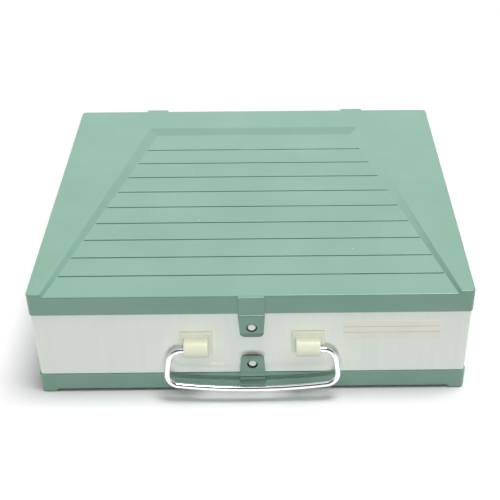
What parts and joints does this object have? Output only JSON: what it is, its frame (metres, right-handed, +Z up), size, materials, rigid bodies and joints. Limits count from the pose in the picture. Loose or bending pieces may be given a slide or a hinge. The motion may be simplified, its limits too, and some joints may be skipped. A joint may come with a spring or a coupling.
{
  "type": "slide storage case",
  "caption": "Shallow hinged storage case for photographic slides, with a slotted rack between two latched covers and a folding wire handle on the front.",
  "frame": {"origin": "middle of the case's footprint, on the surface that it rests on", "axes": "+Z up, +X to the right when looking at the handle, +Y from the handle to the hinges"},
  "size_m": [0.28, 0.2651, 0.0808],
  "materials": {
    "green_cover": "injection-moulded green polystyrene, satin",
    "cream_frame": "injection-moulded cream polystyrene, polished",
    "cream_rack": "injection-moulded cream polystyrene, satin",
    "ivory_fitting": "injection-moulded ivory polystyrene",
    "chrome_wire": "chrome-plated steel wire",
    "steel_pin": "plain steel",
    "paper_label": "uncoated gummed paper"
  },
  "bodies": {
    "base": {"bottom_cover": "green_cover"},
    "lower_flap": {"lower_latch_flap": "green_cover"},
    "frame": {"case_frame": "cream_frame", "rack_floor": "cream_rack", "rack_comb_left": "cream_rack", "rack_comb_right": "cream_rack", "rack_divider_1": "cream_rack", "rack_divider_2": "cream_rack", "rack_divider_3": "cream_rack", "rack_divider_4": "cream_rack", "upper_latch_stud": "ivory_fitting", "lower_latch_stud": "ivory_fitting", "handle_clip_left": "ivory_fitting", "handle_clip_right": "ivory_fitting", "clip_retainer_left": "ivory_fitting", "clip_retainer_right": "ivory_fitting", "lid_hinge_pin_left": "steel_pin", "lid_hinge_pin_right": "steel_pin", "base_hinge_pin_left": "steel_pin", "base_hinge_pin_right": "steel_pin", "paper_label": "paper_label"},
    "lid": {"top_cover": "green_cover"},
    "upper_flap": {"upper_latch_flap": "green_cover"},
    "handle": {"handle_wire": "chrome_wire"}
  },
  "joints": [
    {"name": "base_hinge", "type": "hinge", "parent": "base", "child": "frame", "pos_m": [0, 0.1266, 0.01995], "axis": [-1, 0, 0], "range_deg": [0, 110]},
    {"name": "lid_hinge", "type": "hinge", "parent": "frame", "child": "lid", "pos_m": [0, 0.1266, 0.0597], "axis": [-1, 0, 0], "range_deg": [0, 110]},
    {"name": "handle_swing", "type": "hinge", "parent": "frame", "child": "handle", "pos_m": [0, -0.1257, 0.0379], "axis": [-1, 0, 0], "range_deg": [0, 155]},
    {"name": "upper_flap_flex", "type": "hinge", "parent": "lid", "child": "upper_flap", "pos_m": [0, -0.12345, 0.0637], "axis": [-1, 0, 0], "range_deg": [0, 35], "stiffness_Nm_per_rad": 0.02},
    {"name": "lower_flap_flex", "type": "hinge", "parent": "base", "child": "lower_flap", "pos_m": [0, -0.12345, 0.0143], "axis": [1, 0, 0], "range_deg": [0, 35], "stiffness_Nm_per_rad": 0.02}
  ]
}
